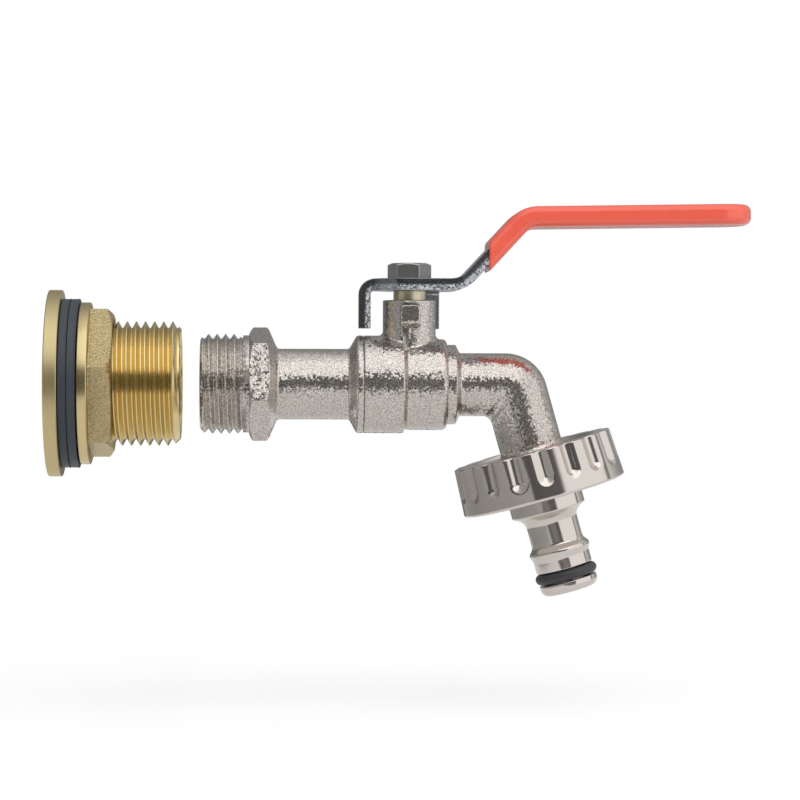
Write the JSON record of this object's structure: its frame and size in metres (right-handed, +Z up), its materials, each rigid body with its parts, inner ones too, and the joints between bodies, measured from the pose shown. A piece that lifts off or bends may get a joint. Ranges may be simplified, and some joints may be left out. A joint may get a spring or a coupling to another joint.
{
  "type": "water butt tap",
  "caption": "Lever ball tap with a bent spout, fluted hose union and push-fit tail, with the brass tank connector, seals and back nut that clamp the wall of a water butt.",
  "frame": {"origin": "on the pipe axis, at the plane between the two seals where the butt's wall is clamped", "axes": "+X along the pipe from the butt towards the outlet, +Z up, -Y to the front"},
  "size_m": [0.1867, 0.0494, 0.1049],
  "materials": {
    "turned_brass": "turned, satin",
    "forged_brass": "forged and blasted",
    "seal_rubber": "matt",
    "ring_rubber": "satin",
    "nickel_cast": "nickel plated over a blasted casting",
    "nickel_turned": "nickel plated over a turned surface",
    "ptfe": "smooth",
    "chrome_ball": "polished",
    "stem_brass": "turned",
    "zinc_steel": "zinc plated sheet",
    "screw_steel": "cold formed, plated",
    "red_grip": "dipped, glossy"
  },
  "bodies": {
    "tap_body": {"valve_body": "nickel_cast", "inlet_end": "nickel_cast", "inlet_joint_seal": "ptfe", "inlet_seat": "ptfe", "outlet_seat": "ptfe"},
    "lever_and_ball": {"lever": "zinc_steel", "lever_grip": "red_grip", "lever_screw": "screw_steel", "stem": "stem_brass", "ball": "chrome_ball", "stem_thrust_washer": "ptfe", "stem_o_ring_lower": "ring_rubber", "stem_o_ring_upper": "ring_rubber"},
    "hose_tail_set": {"hose_tail": "nickel_turned", "tail_flat_washer": "ring_rubber", "tail_o_ring": "ring_rubber"},
    "union_ring": {"union_nut": "nickel_turned"},
    "seal_inside_butt": {"inner_seal": "seal_rubber"},
    "connector": {"tank_connector": "turned_brass"},
    "seal_outside_butt": {"outer_seal": "seal_rubber"},
    "lock_nut": {"back_nut": "forged_brass"}
  },
  "joints": [
    {"name": "lever_turn", "type": "hinge", "parent": "tap_body", "child": "lever_and_ball", "pos_m": [0.0897, 0, 0.0224], "axis": [0, 0, 1], "range_deg": [-90, 0]},
    {"name": "union_slide", "type": "slide", "parent": "tap_body", "child": "hose_tail_set", "axis": [0.2723, 0, -0.9622], "range_m": [0, 0.00462]},
    {"name": "union_turn", "type": "hinge", "parent": "hose_tail_set", "child": "union_ring", "pos_m": [0.12609, 0, -0.02964], "axis": [0.2723, 0, -0.9622], "range_deg": [0, 720]},
    {"name": "connector_slide", "type": "slide", "parent": "tap_body", "child": "seal_inside_butt", "axis": [1, 0, 0], "range_m": [0, 0.01633]},
    {"name": "connector_turn", "type": "hinge", "parent": "seal_inside_butt", "child": "connector", "pos_m": [0, 0, 0], "axis": [1, 0, 0], "range_deg": [0, 3240]},
    {"name": "back_nut_slide", "type": "slide", "parent": "connector", "child": "seal_outside_butt", "axis": [1, 0, 0], "range_m": [0, 0.01386]},
    {"name": "back_nut_turn", "type": "hinge", "parent": "seal_outside_butt", "child": "lock_nut", "pos_m": [0, 0, 0], "axis": [1, 0, 0], "range_deg": [0, 2160]}
  ],
  "couplings": [
    {"joint": "union_slide", "follows": "union_turn", "m_per_rad": 0.00036749},
    {"joint": "connector_slide", "follows": "connector_turn", "m_per_rad": 0.00028871},
    {"joint": "back_nut_slide", "follows": "back_nut_turn", "m_per_rad": 0.00036749}
  ]
}
